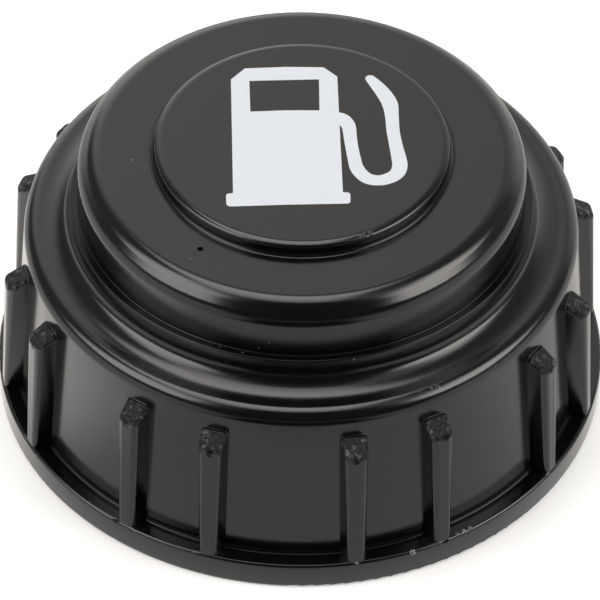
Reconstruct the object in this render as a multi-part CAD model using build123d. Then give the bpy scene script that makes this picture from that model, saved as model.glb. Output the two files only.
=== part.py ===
from build123d import *
import math
import os

# Moulded screw cap for a fuel tank neck, in millimetres.
# The origin is the centre of the open rim, and +Z runs up through the dome.

# Coarse thread inside the skirt, for a neck of 57.15 mm over its own thread
neck_radius = 28.575
thread_clearance = 0.425
thread_depth = 1.2
thread_pitch = 6.0
groove_root_width = 2.5
groove_flank_angle = 22.0
groove_run_out = 1.5
thread_start_angle = 37.0
thread_bottom = 5.0
mouth_flare = 2.2
mouth_gap = 0.4

# Grip skirt and rim flange
skirt_wall = 4.8
skirt_draft = 3.92
skirt_rise = 21.15
rim_ledge = 2.2
rim_height = 3.5
rim_edge_radius = 0.38
rim_root_radius = 0.5

# Flat left between the two arcs of a soft edge
soft_edge_flat = 0.05

# Shoulder and the coved step up to the dome
shoulder_edge_radius = 1.7
shoulder_flat = 0.49
cove_foot_radius = 4.5
cove_slope = 30.0
cove_wall_radius = 1.6
step_rise = 3.4
step_draft = 7.0
step_edge_radius = 0.2
step_ledge = 0.95
ledge_root_radius = 0.15

# Dome, its bevelled edge and the raised disc
dome_rise = 7.0
bevel_size = 1.8
bevel_lower_radius = 2.0
bevel_upper_radius = 2.5
shelf_width = 8.9
disc_rise = 1.65
disc_top_radius = 1.6
disc_edge_slope = 22.0
disc_edge_radius = 0.5
disc_root_radius = 0.5

# Walls of the roof and of the bore in the dome
roof_wall = 2.4
bore_wall = 2.4
bore_top_radius = 1.5
disc_recess_gap = 2.3
disc_recess_depth = 1.6
recess_corner_radius = 0.6

# Gasket above the thread, and its seat
gasket_inset = 0.3
gasket_thickness = 2.0
gasket_edge_radius = 0.3
gasket_hub_clearance = 0.18
gasket_lip_rise = 0.6
gasket_lip_gap = 0.5
seat_side_clearance = 0.35
thread_top_clearance = 0.6

# Splash baffle that snaps into the bore of the dome
hub_clearance = 0.08
hub_wall = 1.5
hub_reach = 6.2
hub_lip_radius = 0.4
baffle_flange_lap = 1.05
baffle_flange_edge = 0.3
baffle_plate = 1.5
snap_bead_radius = 0.45
snap_bead_reach = 0.28
snap_bead_inset = 2.2
snap_groove_clearance = 0.06
breather_radius = 1.5
breather_inset = 10.0
breather_angle = 145.0

# Foam pad inside the baffle
pad_height = 5.0
pad_edge_chamfer = 0.4

# Grip ribs, in pairs round the skirt
rib_pair_count = 8
rib_pair_centre = -70.5
rib_half_spacing = 8.55
rib_drop = 3.3
rib_root_sink = 1.0
rib_foot_sink = 0.6
rib_foot_width = 1.9
rib_foot_spread = 1.2
rib_foot_inset = 0.15
rib_top_width = 2.75
rib_top_spread = 0.5
rib_top_height = 2.4
rib_edge_roundness = 0.32
rib_crown_slope = 27.0
rib_crown_radius = 0.75

# Vent pinhole in the shelf of the dome
vent_radius = 0.34
vent_inset = 6.25
vent_angle = -125.3


def soft_facet(flat_radius, slope, wall_radius, wall_slope):
    flat_reach = flat_radius * math.tan(math.radians(slope) / 2)
    wall_reach = wall_radius * math.tan(math.radians(wall_slope - slope) / 2)
    length = flat_reach + wall_reach + soft_edge_flat
    return length * math.cos(math.radians(slope)), length * math.sin(math.radians(slope))


# Radii that follow from the sizes above
draft_slope = math.tan(math.radians(skirt_draft))
root_radius = neck_radius + thread_clearance
crest_radius = root_radius - thread_depth
skirt_base_radius = root_radius + skirt_wall
rim_radius = skirt_base_radius + rim_ledge
shoulder_radius = skirt_base_radius - skirt_rise * draft_slope
shoulder_edge_reach = shoulder_edge_radius * math.tan(math.radians(90 - skirt_draft) / 2)
cove_facet = soft_facet(cove_foot_radius, cove_slope, cove_wall_radius, 90 - step_draft)
cove_foot_reach = cove_foot_radius * math.tan(math.radians(cove_slope) / 2)
cove_draft_run = (step_rise - cove_facet[1]) * math.tan(math.radians(step_draft))
cove_width = cove_draft_run + cove_facet[0] + cove_foot_reach
step_radius = shoulder_radius - shoulder_edge_reach - shoulder_flat - cove_width
dome_radius = step_radius - step_ledge
disc_radius = dome_radius - shelf_width
disc_facet = soft_facet(disc_top_radius, disc_edge_slope, disc_edge_radius, 90)
bore_radius = dome_radius - bore_wall
gasket_outer_radius = root_radius - gasket_inset
seat_radius = gasket_outer_radius + seat_side_clearance
hub_radius = bore_radius - hub_clearance
hub_inner_radius = hub_radius - hub_wall
baffle_flange_radius = bore_radius + baffle_flange_lap

# Heights that follow from the sizes above
shoulder_height = rim_height + skirt_rise
step_height = shoulder_height + step_rise
dome_height = step_height + dome_rise
disc_height = dome_height + disc_rise
rib_top = shoulder_height - rib_drop
bore_ceiling = dome_height - roof_wall
seat_height = shoulder_height - roof_wall
gasket_bottom = seat_height - gasket_thickness
lip_bottom = gasket_bottom - gasket_lip_rise
plate_bottom = gasket_bottom - baffle_plate
thread_top = plate_bottom - thread_top_clearance
hub_top = gasket_bottom + hub_reach
snap_height = hub_top - snap_bead_inset


def skirt_radius_at(height):
    return skirt_base_radius - (height - rim_height) * draft_slope


def revolved(points, radii):
    with BuildPart() as turned:
        with BuildSketch(Plane.XZ):
            with BuildLine():
                FilletPolyline(*points, radius=radii, close=True)
            make_face()
        revolve(axis=Axis.Z)
    return turned.part


def outer_body():
    corners = [
        ((0, 0), 0),
        ((rim_radius, 0), rim_edge_radius),
        ((rim_radius, rim_height), rim_edge_radius),
        ((skirt_base_radius, rim_height), rim_root_radius),
        ((shoulder_radius, shoulder_height), shoulder_edge_radius),
        ((step_radius + cove_draft_run + cove_facet[0], shoulder_height), cove_foot_radius),
        ((step_radius + cove_draft_run, shoulder_height + cove_facet[1]), cove_wall_radius),
        ((step_radius, step_height), step_edge_radius),
        ((dome_radius, step_height), ledge_root_radius),
        ((dome_radius, dome_height - bevel_size), bevel_lower_radius),
        ((dome_radius - bevel_size, dome_height), bevel_upper_radius),
        ((disc_radius, dome_height), disc_root_radius),
        ((disc_radius, disc_height - disc_facet[1]), disc_edge_radius),
        ((disc_radius - disc_facet[0], disc_height), disc_top_radius),
        ((0, disc_height), 0),
    ]
    return revolved([corner[0] for corner in corners], [corner[1] for corner in corners])


def inner_space():
    recess_radius = disc_radius - disc_recess_gap
    recess_ceiling = bore_ceiling + disc_recess_depth
    corners = [
        ((0, 0), 0),
        ((root_radius + mouth_flare, 0), 0),
        ((root_radius + mouth_gap, thread_bottom - thread_depth - mouth_gap), 0),
        ((crest_radius, thread_bottom), 0),
        ((crest_radius, thread_top), 0),
        ((seat_radius, thread_top + seat_radius - crest_radius), 0),
        ((seat_radius, seat_height), 0),
        ((bore_radius, seat_height), 0),
        ((bore_radius, bore_ceiling), bore_top_radius),
        ((recess_radius, bore_ceiling), recess_corner_radius),
        ((recess_radius, recess_ceiling), recess_corner_radius),
        ((0, recess_ceiling), 0),
    ]
    return revolved([corner[0] for corner in corners], [corner[1] for corner in corners])


def snap_ring(ring_radius, tube_radius):
    with BuildPart() as ring:
        with BuildSketch(Plane.XZ):
            with Locations((ring_radius, snap_height)):
                Circle(tube_radius)
        revolve(axis=Axis.Z)
    return ring.part


def thread_groove():
    flank_slope = math.tan(math.radians(groove_flank_angle))
    inner = crest_radius - thread_depth / 2
    half_root = groove_root_width / 2
    half_inner = half_root + (root_radius - inner) * flank_slope
    start = thread_bottom - thread_pitch / 2
    rise = thread_top + groove_run_out - start
    lengths = math.ceil(rise / (thread_pitch / 2))
    length_rise = rise / lengths
    length_turn = 360 * length_rise / thread_pitch
    with BuildPart() as length:
        with BuildLine() as path:
            Helix(pitch=thread_pitch, height=length_rise, radius=crest_radius)
        with BuildSketch(Plane.XZ):
            with BuildLine():
                Polyline(
                    (inner, -half_inner),
                    (root_radius, -half_root),
                    (root_radius, half_root),
                    (inner, half_inner),
                    close=True,
                )
            make_face()
        sweep(path=path.line, is_frenet=True)
    places = [
        Pos(0, 0, start + step * length_rise) * Rotation(0, 0, thread_start_angle + step * length_turn)
        for step in range(lengths)
    ]
    return [place * length.part for place in places]


def grip_rib():
    foot = rim_height - rib_foot_sink
    levels = [
        (foot, rim_radius - rib_foot_inset, rib_foot_width, rib_foot_spread),
        (rib_top, skirt_radius_at(rib_top) + rib_top_height, rib_top_width, rib_top_spread),
    ]
    with BuildPart() as rib:
        for height, reach, width, spread in levels:
            wall = skirt_radius_at(height)
            side_slope = spread / 2 / (reach - wall)
            root = wall - rib_root_sink
            half_root = width / 2 + (reach - root) * side_slope
            edge_radius = width * rib_edge_roundness
            with BuildSketch(Plane.XY.offset(height)):
                with BuildLine():
                    FilletPolyline(
                        (root, -half_root),
                        (reach, -width / 2),
                        (reach, width / 2),
                        (root, half_root),
                        radius=[0, edge_radius, edge_radius, 0],
                        close=True,
                    )
                make_face()
        loft(ruled=True)
        slope = math.radians(rib_crown_slope)
        upright = Vector(math.sin(slope), 0, math.cos(slope))
        split(bisect_by=Plane(origin=(skirt_radius_at(rib_top), 0, rib_top), z_dir=upright), keep=Keep.BOTTOM)
        crown = rib.faces().sort_by(lambda face: face.normal_at().dot(upright))[-1]
        fillet(crown.edges().sort_by(Axis.X)[1:], radius=rib_crown_radius)
    return rib.part


def make_shell():
    with BuildPart() as shell:
        add(outer_body())
        rib = grip_rib()
        for pair in range(rib_pair_count):
            for side in (-1, 1):
                angle = rib_pair_centre + side * rib_half_spacing + pair * 360 / rib_pair_count
                add(rib.rotate(Axis.Z, angle))
        add(inner_space(), mode=Mode.SUBTRACT)
        for length in thread_groove():
            add(length, mode=Mode.SUBTRACT)
        groove_tube = snap_bead_radius + snap_groove_clearance
        ring = hub_radius + snap_bead_reach - snap_bead_radius
        add(snap_ring(ring, groove_tube), mode=Mode.SUBTRACT)
        with Locations(Rotation(0, 0, vent_angle) * Pos(dome_radius - vent_inset, 0, dome_height)):
            Cylinder(vent_radius, 3 * roof_wall, mode=Mode.SUBTRACT)
    return shell.part


def make_gasket():
    inner = hub_radius + gasket_hub_clearance
    lip_inner = baffle_flange_radius + gasket_lip_gap
    lip_outer = crest_radius - gasket_lip_gap
    corners = [
        ((inner, gasket_bottom), gasket_edge_radius),
        ((lip_inner, gasket_bottom), 0),
        ((lip_inner, lip_bottom), gasket_edge_radius),
        ((lip_outer, lip_bottom), gasket_edge_radius),
        ((lip_outer, gasket_bottom), 0),
        ((gasket_outer_radius, gasket_bottom), gasket_edge_radius),
        ((gasket_outer_radius, seat_height), gasket_edge_radius),
        ((inner, seat_height), gasket_edge_radius),
    ]
    return revolved([corner[0] for corner in corners], [corner[1] for corner in corners])


def make_baffle():
    corners = [
        (0, plate_bottom),
        (baffle_flange_radius, plate_bottom),
        (baffle_flange_radius, gasket_bottom),
        (hub_radius, gasket_bottom),
        (hub_radius, hub_top),
        (hub_inner_radius, hub_top),
        (hub_inner_radius, gasket_bottom),
        (0, gasket_bottom),
    ]
    with BuildPart() as baffle:
        add(revolved(corners, [0, baffle_flange_edge, 0, 0, hub_lip_radius, 0, 0, 0]))
        add(snap_ring(hub_radius + snap_bead_reach - snap_bead_radius, snap_bead_radius))
        breather_offset = hub_inner_radius - breather_inset
        with Locations(Rotation(0, 0, breather_angle) * Pos(breather_offset, 0, plate_bottom)):
            Cylinder(breather_radius, 3 * baffle_plate, mode=Mode.SUBTRACT)
    return baffle.part


def make_pad():
    with BuildPart() as pad:
        with Locations((0, 0, gasket_bottom)):
            Cylinder(hub_inner_radius, pad_height, align=(Align.CENTER, Align.CENTER, Align.MIN))
        chamfer(pad.edges().filter_by(GeomType.CIRCLE), length=pad_edge_chamfer)
    return pad.part


os.makedirs("parts", exist_ok=True)
pieces = {
    "cap_shell": make_shell(),
    "sealing_gasket": make_gasket(),
    "vent_baffle": make_baffle(),
    "filter_pad": make_pad(),
}
for name, piece in pieces.items():
    print(name, "volume", round(piece.volume), "valid", piece.is_valid)
    export_step(piece, "parts/" + name + ".step")
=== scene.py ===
import math

import bpy
from mathutils import Matrix, Vector


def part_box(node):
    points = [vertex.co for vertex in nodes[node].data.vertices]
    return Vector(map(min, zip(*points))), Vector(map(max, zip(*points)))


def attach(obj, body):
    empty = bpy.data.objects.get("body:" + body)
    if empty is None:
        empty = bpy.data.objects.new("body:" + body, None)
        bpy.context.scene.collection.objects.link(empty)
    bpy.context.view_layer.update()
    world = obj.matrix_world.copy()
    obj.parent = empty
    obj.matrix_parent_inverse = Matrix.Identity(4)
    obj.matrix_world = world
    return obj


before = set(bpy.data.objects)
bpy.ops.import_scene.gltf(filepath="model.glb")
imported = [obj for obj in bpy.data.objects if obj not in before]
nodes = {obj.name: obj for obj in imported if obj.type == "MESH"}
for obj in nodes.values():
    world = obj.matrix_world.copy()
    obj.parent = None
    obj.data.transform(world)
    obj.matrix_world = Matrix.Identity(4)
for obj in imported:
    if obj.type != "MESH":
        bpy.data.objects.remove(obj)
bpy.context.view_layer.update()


scene = bpy.context.scene
MM = 0.001

# Outer sizes of the shell, in millimetres and degrees
rim_radius = 36.0
rim_height = 3.5
rim_edge_radius = 0.38
rim_root_radius = 0.5
rim_ledge = 2.2
skirt_rise = 21.15
skirt_draft = 3.92
shoulder_edge_radius = 1.7
shoulder_flat = 0.49
cove_foot_radius = 4.5
cove_slope = 30.0
cove_wall_radius = 1.6
step_rise = 3.4
step_draft = 7.0
step_edge_radius = 0.2
step_ledge = 0.95
ledge_root_radius = 0.15
dome_rise = 7.0
bevel_size = 1.8
bevel_lower_radius = 2.0
bevel_upper_radius = 2.5
shelf_width = 8.9
disc_rise = 1.65
disc_top_radius = 1.6
disc_edge_slope = 22.0
disc_edge_radius = 0.5
disc_root_radius = 0.5
soft_edge_flat = 0.05

# Grip ribs, in pairs round the skirt
rib_pair_count = 8
rib_pair_centre = -70.5
rib_half_spacing = 8.55
rib_drop = 3.3
rib_crown_slope = 27.0

# Sizes that follow from those above
skirt_base_radius = rim_radius - rim_ledge
skirt_slope = math.tan(math.radians(skirt_draft))
crown_slope = math.tan(math.radians(rib_crown_slope))
shoulder_height = rim_height + skirt_rise
step_height = shoulder_height + step_rise
dome_height = step_height + dome_rise
disc_height = dome_height + disc_rise
rib_top = shoulder_height - rib_drop

# Node helpers

# The sockets of a Mix node: its factor, and its two colours or its two vectors
colour_mix = (0, 6, 7)
vector_mix = (0, 4, 5)


class Tree:
    """A material's or world's node tree, with short calls for the nodes used here."""

    def __init__(self, owner):
        owner.use_nodes = True
        self.tree = owner.node_tree
        self.tree.nodes.clear()

    def add(self, kind, inputs=None, **settings):
        node = self.tree.nodes.new(kind)
        for key, value in settings.items():
            setattr(node, key, value)
        for key, value in (inputs or {}).items():
            if isinstance(value, bpy.types.NodeSocket):
                self.tree.links.new(value, node.inputs[key])
            else:
                node.inputs[key].default_value = value
        return node

    def math(self, operation, a, b=0.0, c=0.0):
        return self.add("ShaderNodeMath", {0: a, 1: b, 2: c}, operation=operation).outputs[0]

    def ramp(self, value, low, high, to_low=0.0, to_high=1.0, smooth=True):
        node = self.add(
            "ShaderNodeMapRange",
            {0: value, 1: low, 2: high, 3: to_low, 4: to_high},
            interpolation_type="SMOOTHSTEP" if smooth else "LINEAR",
            clamp=True,
        )
        return node.outputs[0]

    def mix(self, factor, a, b):
        inputs = dict(zip(colour_mix, (factor, a, b)))
        return self.add("ShaderNodeMix", inputs, data_type="RGBA", clamp_factor=True).outputs[2]

    def noise(self, vector, scale, detail=4.0, roughness=0.5):
        node = self.add(
            "ShaderNodeTexNoise",
            {"Vector": vector, "Scale": scale, "Detail": detail, "Roughness": roughness},
        )
        return node.outputs["Fac"]

    def jitter(self, vector, scale, span):
        """Noise about zero, at most half the span to either side."""
        noise = self.noise(vector, scale, detail=2.0)
        return self.math("MULTIPLY", self.math("SUBTRACT", noise, 0.5), span)

    def distance(self, a, b):
        return self.add("ShaderNodeVectorMath", {0: a, 1: b}, operation="DISTANCE").outputs["Value"]

    def to_world(self, vector, kind):
        node = self.add("ShaderNodeVectorTransform", {0: vector}, vector_type=kind,
                        convert_from="OBJECT", convert_to="WORLD")
        return node.outputs[0]

    def out(self, shader, kind="ShaderNodeOutputMaterial"):
        node = self.add(kind)
        self.tree.links.new(shader, node.inputs["Surface"])


def grey(value):
    return (value, value, value, 1.0)


# Materials. Lengths in them are millimetres, measured in the part's own frame. A fade is
# given as its start and end, or as its start, its end and the levels there.

plastic_gloss = 0.7
gloss_cut = 0.6
torn_dullness = 0.45
black_tones = ((0.0026, 0.0024, 0.0023, 1.0), (0.0040, 0.0037, 0.0034, 1.0))
crumb_tones = (grey(0.002), grey(0.1))
crumb_fade = (0.44, 0.66)
# Painted shade: the near-black tone of the pit and the line beside each rib crown
painted_shade_tone = grey(0.0012)

# Roughness, and relief in millimetres
least_rough = 0.115
cloudy_rough = 0.03
grain_rough = 0.06
torn_rough = 0.4
grain_relief = 0.0022
fine_relief = 0.0026
torn_relief = 0.45
nick_relief = 0.04
pit_relief = -0.12

# Where the skirt is clear of the ribs: this far across from one, or above them all
clear_across = 1.7
clear_height = 22.0

# Marks on the shell: place and reach
dust_specks = [
    (-19.6, -1.6, dome_height, 0.1), (-12.5, -17.75, dome_height, 0.07),
    (-9.1, -24.83, step_height, 0.06), (-6.5, -25.68, step_height, 0.07),
    (-4.62, -25.64, 28.75, 0.06), (-3.47, -25.82, 29.8, 0.06),
    (3.35, 6.1, disc_height, 0.09), (6.1, -26.3, 27.8, 0.09), (14.5, -31.2, 12.0, 0.08),
]
nicks = [
    (13.3, -33.4, 3.35, 0.42), (18.4, -30.5, 3.42, 0.3), (19.1, -30.1, 3.48, 0.4),
    (19.9, -29.6, 3.5, 0.3), (6.85, -35.25, 3.4, 0.26), (7.0, -15.3, 36.55, 0.42),
    (7.9, -14.8, 36.55, 0.3), (13.5, -27.95, 24.56, 0.3), (14.9, -27.4, 24.5, 0.24),
    (15.6, -27.15, 24.48, 0.32),
]
dust_tone = grey(0.14)
dust_share = 0.8
dust_border = 0.06
nick_tones = (grey(0.03), grey(0.42))
nick_tone_height = 5.0
nick_core = 0.5
nick_border = 0.6
nick_chips = (0.42, 0.56)

# Inner corners whose gloss is turned down, which makes them darker: radius, height, reach and share
dimmed_inner_corners = [(34.1, 3.8, 0.45, 0.8), (26.5, 28.05, 0.5, 0.55), (17.4, 35.25, 0.35, 0.45)]


def soft_facet(flat_radius, slope, wall_radius, wall_slope):
    """Width and height of a slanted facet that is only as long as its two roundings need."""
    flat_reach = flat_radius * math.tan(math.radians(slope) / 2)
    wall_reach = wall_radius * math.tan(math.radians(wall_slope - slope) / 2)
    length = flat_reach + wall_reach + soft_edge_flat
    return length * math.cos(math.radians(slope)), length * math.sin(math.radians(slope))


def outer_corners():
    """Radius, height and rounding of each outer corner, from the rim up to the disc's middle."""
    cove_run, cove_rise = soft_facet(cove_foot_radius, cove_slope, cove_wall_radius, 90 - step_draft)
    disc_run, disc_drop = soft_facet(disc_top_radius, disc_edge_slope, disc_edge_radius, 90)
    draft_run = (step_rise - cove_rise) * math.tan(math.radians(step_draft))
    shoulder_radius = skirt_base_radius - skirt_rise * skirt_slope
    shoulder_reach = shoulder_edge_radius * math.tan(math.radians(90 - skirt_draft) / 2)
    cove_reach = cove_foot_radius * math.tan(math.radians(cove_slope) / 2)
    cove_foot = shoulder_radius - shoulder_reach - shoulder_flat - cove_reach
    step_radius = cove_foot - cove_run - draft_run
    dome_radius = step_radius - step_ledge
    disc_radius = dome_radius - shelf_width
    return [
        (rim_radius, 0.0, 0.0),
        (rim_radius, rim_height, rim_edge_radius),
        (skirt_base_radius, rim_height, rim_root_radius),
        (shoulder_radius, shoulder_height, shoulder_edge_radius),
        (cove_foot, shoulder_height, cove_foot_radius),
        (step_radius + draft_run, shoulder_height + cove_rise, cove_wall_radius),
        (step_radius, step_height, step_edge_radius),
        (dome_radius, step_height, ledge_root_radius),
        (dome_radius, dome_height - bevel_size, bevel_lower_radius),
        (dome_radius - bevel_size, dome_height, bevel_upper_radius),
        (disc_radius, dome_height, disc_root_radius),
        (disc_radius, disc_height - disc_drop, disc_edge_radius),
        (disc_radius - disc_run, disc_height, disc_top_radius),
        (0.0, disc_height, 0.0),
    ]


def roundings():
    """The arc at each rounded corner: centre, radius, side, and its box's middle and half size."""
    corners = outer_corners()
    for before, here, after in zip(corners, corners[1:], corners[2:]):
        corner = Vector(here[:2])
        to_before = (Vector(before[:2]) - corner).normalized()
        to_after = (Vector(after[:2]) - corner).normalized()
        half = to_before.angle(to_after) / 2
        reach = here[2] / math.tan(half)
        start, end = corner + to_before * reach, corner + to_after * reach
        centre = corner + (to_before + to_after).normalized() * here[2] / math.sin(half)
        side = -1.0 if to_before.cross(to_after) > 0 else 1.0
        yield centre, here[2], side, (start + end) / 2, (start - end) / 2


def place_in_mm(t):
    at = t.add("ShaderNodeTexCoord").outputs["Object"]
    return t.add("ShaderNodeVectorMath", {0: at, 3: 1 / MM}, operation="SCALE").outputs[0]


def near(t, place, spot, reach, soft):
    """1 inside the reach round a spot, 0 beyond the soft border."""
    return t.ramp(t.distance(place, spot), reach, reach + soft, 1.0, 0.0)


def true_normal(t, x, y, radius, z, away_from_ribs):
    """The mesh normal, and on the rounded rings the normal of the arc itself."""
    slack = 0.004
    total, out, up = 0.0, 0.0, 0.0
    for centre, reach, side, middle, half in roundings():
        beside = t.math("COMPARE", radius, middle.x, abs(half.x) + slack)
        level = t.math("COMPARE", z, middle.y, abs(half.y) + slack)
        inside = t.math("MULTIPLY", beside, level)
        total = t.math("ADD", total, inside)
        along = t.math("MULTIPLY_ADD", radius, side / reach, -side * centre.x / reach)
        rise = t.math("MULTIPLY_ADD", z, side / reach, -side * centre.y / reach)
        out = t.math("MULTIPLY_ADD", inside, along, out)
        up = t.math("MULTIPLY_ADD", inside, rise, up)
    out = t.math("DIVIDE", out, radius)
    out_x, out_y = t.math("MULTIPLY", out, x), t.math("MULTIPLY", out, y)
    arc = t.to_world(t.add("ShaderNodeCombineXYZ", {0: out_x, 1: out_y, 2: up}).outputs[0], "VECTOR")
    mesh = t.to_world(t.add("ShaderNodeTexCoord").outputs["Normal"], "NORMAL")
    share = t.math("MULTIPLY", t.math("MINIMUM", total, 1.0), away_from_ribs)
    both = t.add("ShaderNodeMix", dict(zip(vector_mix, (share, mesh, arc))), data_type="VECTOR").outputs[1]
    return t.add("ShaderNodeVectorMath", {0: both}, operation="NORMALIZE").outputs[0]


def shell_places(t, place):
    """x, y, height, radius and the distance across from the nearest rib, in millimetres."""
    parts = t.add("ShaderNodeSeparateXYZ", {0: place})
    x, y, z = parts.outputs[0], parts.outputs[1], parts.outputs[2]
    radius = t.math("SQRT", t.math("ADD", t.math("MULTIPLY", x, x), t.math("MULTIPLY", y, y)))
    pitch = 2 * math.pi / rib_pair_count
    first_pair = math.radians(rib_pair_centre) - pitch / 2
    turn = t.math("SUBTRACT", t.math("ARCTAN2", y, x), first_pair)
    turn = t.math("SUBTRACT", t.math("FLOORED_MODULO", turn, pitch), pitch / 2)
    turn = t.math("SUBTRACT", t.math("ABSOLUTE", turn), math.radians(rib_half_spacing))
    return x, y, z, radius, t.math("MULTIPLY", turn, radius)


def rib_crowns(t, place, radius, z, across):
    """Masks for the torn top of every grip rib, and for the pit and line beside it, which carry painted
    shade.
    """
    crown_fade = (-0.75, -0.35)
    off_wall_fade = (0.1, 0.5)
    pit_spot = (0.2, 34.85, 19.75)
    pit_fade = (0.15, 0.75, 1.0, 0.0)
    line_start = (0.02, 0.12)
    line_end = (0.1, 0.32, 0.8, 0.0)
    line_height = (-0.45, -0.2)
    wall = t.math("MULTIPLY_ADD", t.math("SUBTRACT", z, rim_height), -skirt_slope, skirt_base_radius)
    proud = t.math("SUBTRACT", radius, wall)
    crown = t.math("ADD", t.math("SUBTRACT", z, rib_top), t.math("MULTIPLY", proud, crown_slope))
    ragged = t.jitter(place, scale=2.2, span=1.1)
    top = t.ramp(t.math("ADD", crown, ragged), *crown_fade)
    torn = t.math("MULTIPLY", top, t.ramp(proud, *off_wall_fade))
    # Painted shade: the pit beside the crown and a line next to the wall are blackened; the pit's dent is in
    # the relief
    spot = t.add("ShaderNodeCombineXYZ", {0: across, 1: radius, 2: z}).outputs[0]
    wobble = t.jitter(place, scale=1.7, span=0.7)
    pit = t.ramp(t.math("ADD", t.distance(spot, pit_spot), wobble), *pit_fade)
    edge = t.math("MULTIPLY", t.ramp(proud, *line_start), t.ramp(proud, *line_end))
    outline = t.math("MULTIPLY", edge, t.ramp(crown, *line_height))
    return torn, t.math("MAXIMUM", pit, outline)


def nick_mask(t, place):
    mask = 0.0
    for *spot, reach in nicks:
        nick = near(t, place, tuple(spot), reach * nick_core, reach * nick_border)
        mask = t.math("MAXIMUM", mask, nick)
    chips = t.noise(place, scale=4.2, detail=3.0, roughness=0.75)
    return t.math("MULTIPLY", mask, t.ramp(chips, *nick_chips))


def dust_mask(t, place):
    mask = 0.0
    for *spot, reach in dust_specks:
        mask = t.math("MAXIMUM", mask, near(t, place, tuple(spot), reach, dust_border))
    return mask


def dulling_for_wear_and_painted_shade(t, radius, z, torn, pit_and_painted_shade):
    """How much gloss the shell loses: worn at its torn crowns, painted shade at the pit and line beside
    them, and turned down in some inner corners.
    """
    dull = t.math("MAXIMUM", pit_and_painted_shade, t.math("MULTIPLY", torn, torn_dullness))
    for at_radius, at_height, reach, share in dimmed_inner_corners:
        beside = t.math("COMPARE", radius, at_radius, reach)
        level = t.math("COMPARE", z, at_height, reach)
        corner = t.math("MULTIPLY", beside, level)
        dull = t.math("MAXIMUM", dull, t.math("MULTIPLY", corner, share))
    return dull


def shell_plastic():
    material = bpy.data.materials.new("moulded_black_plastic")
    t = Tree(material)
    place = place_in_mm(t)
    cloudy = t.noise(place, scale=0.09, detail=3.0)
    grain = t.noise(place, scale=2.6, detail=3.0, roughness=0.6)
    fine = t.noise(place, scale=7.0, detail=2.0, roughness=0.6)
    x, y, z, radius, across = shell_places(t, place)
    torn, pit_and_painted_shade = rib_crowns(t, place, radius, z, across)
    nicked = nick_mask(t, place)
    dust = dust_mask(t, place)
    crumb = t.ramp(t.noise(place, scale=1.5, detail=3.0, roughness=0.62), *crumb_fade)

    tone = t.mix(cloudy, *black_tones)
    tone = t.mix(torn, tone, t.mix(crumb, *crumb_tones))
    tone = t.mix(nicked, tone, t.mix(t.math("LESS_THAN", z, nick_tone_height), *nick_tones))
    tone = t.mix(t.math("MULTIPLY", dust, dust_share), tone, dust_tone)
    # Painted shade on the pit and the line beside each rib crown
    tone = t.mix(pit_and_painted_shade, tone, painted_shade_tone)

    rough = t.math("MULTIPLY_ADD", cloudy, cloudy_rough, least_rough)
    rough = t.math("MULTIPLY_ADD", grain, grain_rough, rough)
    rough = t.math("MULTIPLY_ADD", torn, torn_rough, rough)

    height = t.math("MULTIPLY_ADD", fine, fine_relief, t.math("MULTIPLY", grain, grain_relief))
    height = t.math("MULTIPLY_ADD", t.math("MULTIPLY", torn, crumb), torn_relief, height)
    height = t.math("MULTIPLY_ADD", nicked, nick_relief, height)
    height = t.math("MULTIPLY_ADD", pit_and_painted_shade, pit_relief, height)

    beside_rib = t.math("GREATER_THAN", t.math("ABSOLUTE", across), clear_across)
    away_from_ribs = t.math("MAXIMUM", beside_rib, t.math("GREATER_THAN", z, clear_height))
    smooth = true_normal(t, x, y, radius, z, away_from_ribs)
    bump = t.add("ShaderNodeBump", {"Height": height, "Strength": 1.0, "Distance": MM, "Normal": smooth})
    # Gloss cut: wear on the torn crowns, painted shade on the pit and crown line, and dimmed inner corners
    gloss = t.math("MULTIPLY_ADD", dulling_for_wear_and_painted_shade(t, radius, z, torn, pit_and_painted_shade), -gloss_cut, plastic_gloss)
    shader = t.add(
        "ShaderNodeBsdfPrincipled",
        {"Base Color": tone, "Roughness": rough, "Normal": bump.outputs[0], "Specular IOR Level": gloss},
    )
    t.out(shader.outputs[0])
    return material


def mottled(name, tones, rough, size_mm, relief_mm, specular=0.5):
    """A two-tone material whose patches and relief have the size given in millimetres."""
    grains_per_patch = 6.0
    patch_share, grain_share = 0.6, 0.4
    patch_fade, grain_fade = (0.35, 0.65), (0.3, 0.7)
    material = bpy.data.materials.new(name)
    t = Tree(material)
    place = place_in_mm(t)
    patches = t.noise(place, scale=1.0 / size_mm, detail=4.0, roughness=0.55)
    grain = t.noise(place, scale=grains_per_patch / size_mm, detail=3.0, roughness=0.6)
    tone = t.mix(t.ramp(patches, *patch_fade), *tones)
    uneven = t.ramp(grain, *grain_fade, *rough, smooth=False)
    height = t.math("MULTIPLY_ADD", grain, grain_share, t.math("MULTIPLY", patches, patch_share))
    height = t.math("MULTIPLY", height, relief_mm)
    bump = t.add("ShaderNodeBump", {"Height": height, "Strength": 1.0, "Distance": MM})
    shader = t.add(
        "ShaderNodeBsdfPrincipled",
        {"Base Color": tone, "Roughness": uneven, "Normal": bump.outputs[0], "Specular IOR Level": specular},
    )
    t.out(shader.outputs[0])
    return material


def set_material(thing, material):
    thing.data.materials.clear()
    thing.data.materials.append(material)


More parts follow.
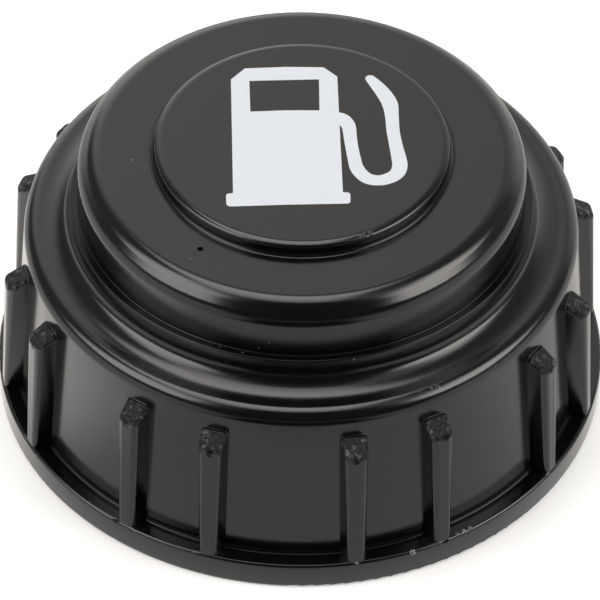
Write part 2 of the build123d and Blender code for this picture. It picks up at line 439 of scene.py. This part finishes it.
baffle_plastic = mottled(
    "baffle_plastic", ((0.03, 0.03, 0.033, 1.0), (0.042, 0.042, 0.045, 1.0)),
    rough=(0.34, 0.48), size_mm=3.0, relief_mm=0.004,
)
rubber = mottled(
    "gasket_rubber", (grey(0.016), grey(0.026)),
    rough=(0.6, 0.75), size_mm=1.2, relief_mm=0.01, specular=0.4,
)
foam = mottled(
    "filter_foam", ((0.05, 0.05, 0.047, 1.0), (0.15, 0.15, 0.14, 1.0)),
    rough=(0.85, 0.95), size_mm=0.5, relief_mm=0.12, specular=0.2,
)
print_white = mottled(
    "printed_white", ((0.68, 0.735, 0.795, 1.0), (0.70, 0.755, 0.815, 1.0)),
    rough=(0.4, 0.5), size_mm=1.5, relief_mm=0.002,
)

set_material(nodes["cap_shell"], shell_plastic())
set_material(nodes["sealing_gasket"], rubber)
set_material(nodes["vent_baffle"], baffle_plastic)
set_material(nodes["filter_pad"], foam)

# The printed pump sign. Its sizes are millimetres on the disc, before its small turn.

disc_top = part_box("cap_shell")[1].z
print_lift = 0.00001
print_turn = math.radians(2.1)


def sign_mesh(name, outline, hole):
    """A flat printed shape with a hole in it, filled between its two closed outlines."""
    curve = bpy.data.curves.new(name, "CURVE")
    curve.dimensions = "2D"
    curve.fill_mode = "BOTH"
    for ring in (outline, hole):
        spline = curve.splines.new("POLY")
        spline.points.add(len(ring) - 1)
        for point, (x, y) in zip(spline.points, ring):
            point.co = (x * MM, y * MM, 0, 1)
        spline.use_cyclic_u = True
    source = bpy.data.objects.new(name + "_curve", curve)
    scene.collection.objects.link(source)
    bpy.context.view_layer.update()
    mesh = bpy.data.meshes.new_from_object(source)
    bpy.data.objects.remove(source)
    return mesh


def rounded(points, radii, steps=5):
    """Rounds each corner of a closed outline by its own radius."""
    out = []
    for i, radius in enumerate(radii):
        here = Vector(points[i])
        if radius <= 0:
            out.append(tuple(here))
            continue
        before = (Vector(points[i - 1]) - here).normalized()
        after = (Vector(points[(i + 1) % len(points)]) - here).normalized()
        cut = radius / math.tan(before.angle(after) / 2)
        start = here + before * cut
        end = here + after * cut
        for k in range(steps + 1):
            f = k / steps
            out.append(tuple(start * (1 - f) ** 2 + here * 2 * f * (1 - f) + end * f ** 2))
    return out


def smooth_line(stations, steps):
    """Points on a smooth curve through the stations."""
    def at(i):
        return Vector(stations[max(0, min(i, len(stations) - 1))])

    line = []
    for i in range(len(stations) - 1):
        a, b, c, d = at(i - 1), at(i), at(i + 1), at(i + 2)
        for k in range(steps):
            f = k / steps
            line.append(0.5 * (2 * b + (c - a) * f + (2 * a - 5 * b + 4 * c - d) * f ** 2
                               + (3 * b - a - 3 * c + d) * f ** 3))
    line.append(at(len(stations) - 1))
    return line


def ribbon_mesh(name, stations, steps=8):
    """A flat strip through (x, y, half width) stations, upright at its start and round at its end."""
    start_gap = 0.02
    line = smooth_line(stations, steps)
    rows = []
    for i, point in enumerate(line):
        ahead = line[min(i + 1, len(line) - 1)] - line[max(i - 1, 0)]
        side = Vector((-ahead.y, ahead.x)).normalized() if i else Vector((0, 1))
        rows.append((point.to_2d() + side * point.z, point.to_2d() - side * point.z))

    edge = stations[0][0]
    first = next(i for i, row in enumerate(rows) if i and row[1].x > edge + start_gap)
    points = [point for row in rows[first:] for point in row]
    faces = [(2 * i, 2 * i + 1, 2 * i + 3, 2 * i + 2) for i in range(len(rows) - first - 1)]

    heading = (line[-1] - line[-2]).to_2d().normalized()
    side = Vector((-heading.y, heading.x))
    last = len(points) - 2
    for k in range(1, steps):
        angle = math.pi * k / steps
        around_end = side * math.cos(angle) + heading * math.sin(angle)
        points.append(line[-1].to_2d() + around_end * line[-1].z)
    faces.append((last, last + 1, *range(len(points) - 1, last + 1, -1)))

    begin = len(points)
    points += [row[0] for row in rows[:first]] + [Vector((edge, rows[first][1].y))]
    faces.append((1, 0, *range(len(points) - 2, begin - 1, -1), len(points) - 1))
    mesh = bpy.data.meshes.new(name)
    mesh.from_pydata([(p.x * MM, p.y * MM, 0) for p in points], [], faces)
    return mesh


def add_print(name, mesh):
    sign = bpy.data.objects.new(name, mesh)
    scene.collection.objects.link(sign)
    on_disc = Matrix.Translation((0, 0, disc_top + print_lift))
    sign.matrix_world = on_disc @ Matrix.Rotation(print_turn, 4, "Z")
    set_material(sign, print_white)
    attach(sign, "root")


pump_body = rounded(
    [(-8.02, 10.75), (-6.35, 12.6), (-1.6, 12.78), (2.85, 12.62), (4.4, 11.0), (4.4, -8.5),
     (5.25, -8.55), (5.2, -10.38), (-2.0, -10.42), (-8.95, -10.6), (-8.98, -8.45), (-8.15, -8.4)],
    [0.15, 0.25, 0, 0.25, 0.25, 0.1, 0.45, 0.45, 0, 0.6, 0.45, 0.08],
)
pump_window = [(-5.88, 10.45), (-5.88, 5.2), (-1.8, 5.34), (2.15, 5.25), (2.25, 10.55)]
hose_stations = [
    (4.4, 3.8, 1.06), (4.95, 3.45, 0.94), (5.45, 2.4, 0.82), (5.6, 0.0, 0.75), (5.85, -2.6, 0.76),
    (6.2, -4.7, 0.82), (7.2, -6.2, 0.85), (8.5, -6.62, 0.84), (9.75, -6.3, 0.86),
    (10.7, -5.5, 0.88), (11.08, -4.3, 0.88), (11.03, -3.0, 0.86), (10.78, -0.9, 0.78),
    (10.55, 1.6, 0.76), (10.5, 4.3, 0.8), (10.35, 6.2, 0.93), (9.75, 7.9, 0.9),
    (8.95, 9.4, 0.78), (8.25, 10.55, 0.6),
]
add_print("pump_sign_body", sign_mesh("pump_sign_body", pump_body, pump_window))
add_print("pump_sign_hose", ribbon_mesh("pump_sign_hose", hose_stations))

# Floor. What a glossy surface mirrors of it goes by the place, in metres, and by the slant,
# which is y over |x|.

room_level = 0.71
light_tint = (1.0, 0.963, 0.93, 1.0)
least = 0.001

floor_half = 2.0
floor_drop = 0.00002
floor_pale = 0.9
floor_glow = 0.35
front_fade = (-0.076, -0.057, 0.0, 0.95)
flank_reach = (0.02, 0.05)
flank_fade = (-3.2, -1.6, 0.0, 0.85)
sides_reach = (0.025, 0.06)
sides_fade = (-1.5, -0.3, 0.0, 0.4)
left_fade = (-0.045, -0.03, 0.9, 0.0)
left_slant = (-1.5, -0.3)
left_end = (0.052, 0.066, 1.0, 0.0)
beside_rim = (0.036, 0.0395, 0.4, 0.0)
floor_base = 0.04


def mirrored_floor(t):
    """The level that a glossy surface sees on the floor."""
    at = t.add("ShaderNodeTexCoord").outputs["Object"]
    place = t.add("ShaderNodeSeparateXYZ", {0: at})
    x, y = place.outputs["X"], place.outputs["Y"]
    reach = t.add("ShaderNodeVectorMath", {0: at}, operation="LENGTH").outputs["Value"]
    far_aside = t.math("MAXIMUM", t.math("ABSOLUTE", x), least)
    slant = t.math("DIVIDE", y, far_aside)
    front = t.ramp(y, *front_fade)
    flank = t.math("MULTIPLY", t.ramp(far_aside, *flank_reach), t.ramp(slant, *flank_fade))
    sides = t.math("MULTIPLY", t.ramp(far_aside, *sides_reach), t.ramp(slant, *sides_fade))
    left = t.math("MULTIPLY", t.ramp(x, *left_fade), t.ramp(slant, *left_slant))
    left = t.math("MULTIPLY", left, t.ramp(reach, *left_end))
    beside = t.math("ADD", t.ramp(reach, *beside_rim), t.math("ADD", sides, left))
    level = t.math("ADD", t.math("MAXIMUM", front, flank), beside)
    return t.math("MULTIPLY", t.math("ADD", level, floor_base), room_level)


def pale_floor():
    material = bpy.data.materials.new("pale_floor")
    t = Tree(material)
    path = t.add("ShaderNodeLightPath")
    lit = t.add("ShaderNodeBsdfDiffuse", {"Color": grey(floor_pale)}).outputs[0]
    glow = t.add("ShaderNodeEmission", {"Color": grey(1.0), "Strength": floor_glow}).outputs[0]
    seen = t.add("ShaderNodeAddShader", {0: lit, 1: glow}).outputs[0]
    level = mirrored_floor(t)
    mirrored = t.add("ShaderNodeEmission", {"Color": light_tint, "Strength": level}).outputs[0]
    choice = t.add("ShaderNodeMixShader", {0: path.outputs["Is Camera Ray"], 1: lit, 2: seen}).outputs[0]
    choice = t.add("ShaderNodeMixShader", {0: path.outputs["Is Glossy Ray"], 1: choice, 2: mirrored})
    t.out(choice.outputs[0])
    return material


def add_floor():
    half = floor_half
    corners = [(-half, -half, 0), (half, -half, 0), (half, half, 0), (-half, half, 0)]
    mesh = bpy.data.meshes.new("floor")
    mesh.from_pydata(corners, [], [(0, 1, 2, 3)])
    plane = bpy.data.objects.new("floor", mesh)
    scene.collection.objects.link(plane)
    plane.location.z = -floor_drop
    set_material(plane, pale_floor())


add_floor()

# Surrounding light, by the direction that it comes from. Beside the cap, along is y over |x|
# and height is z over |x|. Above it, across and along are x and y over z.

box_side = (0.05, 0.12)
box_foot_slope = -0.65
box_foot_drop = 0.2
box_foot_soft = 0.06
box_top_level = 0.12
low_height = (-0.05, 0.45, 1.5, 0.1)
low_front = (-1.35, -0.6)
low_back_lift = (0.0, 0.3, 0.0, 0.15)
low_left_shift = (-0.1, 0.1, 0.6, 0.0)
top_across_soft = 0.1
top_along_soft = 0.12
top_front_level = (-0.1, 0.3, 0.62, 1.0)
wall_near = (0.45, 0.7)
wall_top = (0.725, 0.83, 1.0, 0.3)
wall_left = (-0.65, -0.35)
wall_right = (-0.1, 0.16, 1.0, 0.55)
wall_level = (0.25, 0.7, 2.1, 1.3)
ambient_level = (0.0, 0.4, 0.06, 0.2)
horizon_level = (0.0, 0.25, 0.35, 0.0)

world = bpy.data.worlds.new("studio")
scene.world = world
w = Tree(world)
path = w.add("ShaderNodeLightPath")
around = w.add("ShaderNodeTexCoord").outputs["Generated"]
parts = w.add("ShaderNodeSeparateXYZ", {0: around})
toward_x, toward_y, toward_z = parts.outputs["X"], parts.outputs["Y"], parts.outputs["Z"]
aside = w.math("MAXIMUM", w.math("ABSOLUTE", toward_x), least)
above = w.math("MAXIMUM", toward_z, least)


def window(value, low, high, soft):
    """1 between low and high, falling to 0 over the soft width outside them."""
    rise = w.ramp(value, low - soft, low, 0.0, 1.0)
    fall = w.ramp(value, high, high + soft, 1.0, 0.0)
    return w.math("MULTIPLY", rise, fall)


def side_box(sign, front, back, foot, top, level):
    """A soft box beside the cap: its foot rises toward the front, and its top fades out."""
    along = w.math("DIVIDE", toward_y, aside)
    height = w.math("DIVIDE", toward_z, aside)
    side = w.ramp(w.math("MULTIPLY", toward_x, sign), *box_side)
    rising = w.math("MULTIPLY_ADD", along, box_foot_slope, foot - box_foot_drop)
    over_foot = w.math("SUBTRACT", height, w.math("MAXIMUM", rising, foot))
    over_foot = w.ramp(over_foot, -box_foot_soft, box_foot_soft)
    under_top = w.ramp(height, *top, 1.0, box_top_level)
    width = w.math("MULTIPLY", w.ramp(along, *front), w.ramp(along, *back, 1.0, 0.0))
    shape = w.math("MULTIPLY", w.math("MULTIPLY", width, side), w.math("MULTIPLY", over_foot, under_top))
    return w.math("MULTIPLY", shape, level)


def low_glow():
    """The pale surroundings near the horizon, on both sides."""
    along = w.math("DIVIDE", toward_y, aside)
    height = w.math("DIVIDE", toward_z, aside)
    height = w.math("ADD", height, w.ramp(along, *low_back_lift))
    along = w.math("ADD", along, w.ramp(toward_x, *low_left_shift))
    return w.math("MULTIPLY", w.ramp(height, *low_height), w.ramp(along, *low_front))


def top_box(left, right, front, back, level):
    across = w.math("DIVIDE", toward_x, above)
    along = w.math("DIVIDE", toward_y, above)
    wide = window(across, left, right, top_across_soft)
    shape = w.math("MULTIPLY", wide, window(along, front, back, top_along_soft))
    return w.math("MULTIPLY", w.math("MULTIPLY", shape, w.ramp(along, *top_front_level)), level)


def back_wall():
    """The pale wall behind the cap, brighter at its foot."""
    shape = w.math("MULTIPLY", w.ramp(toward_y, *wall_near), w.ramp(toward_z, *wall_top))
    across = w.math("MULTIPLY", w.ramp(toward_x, *wall_left), w.ramp(toward_x, *wall_right))
    return w.math("MULTIPLY", w.math("MULTIPLY", shape, across), w.ramp(toward_z, *wall_level))


lights = [
    side_box(-1.0, front=(-1.2, -0.8), back=(0.0, 0.32), foot=0.52, top=(1.4, 2.9), level=5.2),
    side_box(1.0, front=(-1.05, -0.65), back=(0.0, 0.38), foot=0.52, top=(1.0, 2.2), level=6.7),
    top_box(left=-0.34, right=0.12, front=-0.06, back=0.5, level=4.4),
    back_wall(),
    low_glow(),
]
total = lights[0]
for light in lights[1:]:
    total = w.math("MAXIMUM", total, light)
total = w.math("ADD", total, w.ramp(toward_y, *ambient_level))
total = w.math("MAXIMUM", total, w.ramp(toward_z, *horizon_level))
total = w.math("MULTIPLY", total, room_level)
room = w.add("ShaderNodeBackground", {"Color": light_tint, "Strength": total}).outputs[0]
white = w.add("ShaderNodeBackground", {"Color": grey(1.0), "Strength": 1.0}).outputs[0]
seen = w.add("ShaderNodeMixShader", {0: path.outputs["Is Camera Ray"], 1: room, 2: white})
w.out(seen.outputs[0], "ShaderNodeOutputWorld")

# Camera: the photograph's viewing angle and frame

camera_distance = 0.648
camera_elevation = math.radians(44.98)
look_height = 0.0109
sensor_mm = 36.0
focal_px = 5462.0
frame_px = 600.0
shift_px = -0.48
camera_roll = math.radians(0.65)
nearest_seen = 0.01
camera_data = bpy.data.cameras.new("camera")
camera_data.sensor_width = sensor_mm
camera_data.lens = focal_px * sensor_mm / frame_px
camera_data.shift_x = shift_px / frame_px
camera_data.clip_start = nearest_seen
camera = bpy.data.objects.new("camera", camera_data)
scene.collection.objects.link(camera)
camera_place = Vector((
    0.0,
    -camera_distance * math.cos(camera_elevation),
    look_height + camera_distance * math.sin(camera_elevation),
))
aim = (Vector((0, 0, look_height)) - camera_place).to_track_quat("-Z", "Y").to_matrix().to_4x4()
camera.matrix_world = Matrix.Translation(camera_place) @ aim @ Matrix.Rotation(camera_roll, 4, "Z")
scene.camera = camera

scene.view_settings.view_transform = "Standard"

bpy.context.view_layer.update()
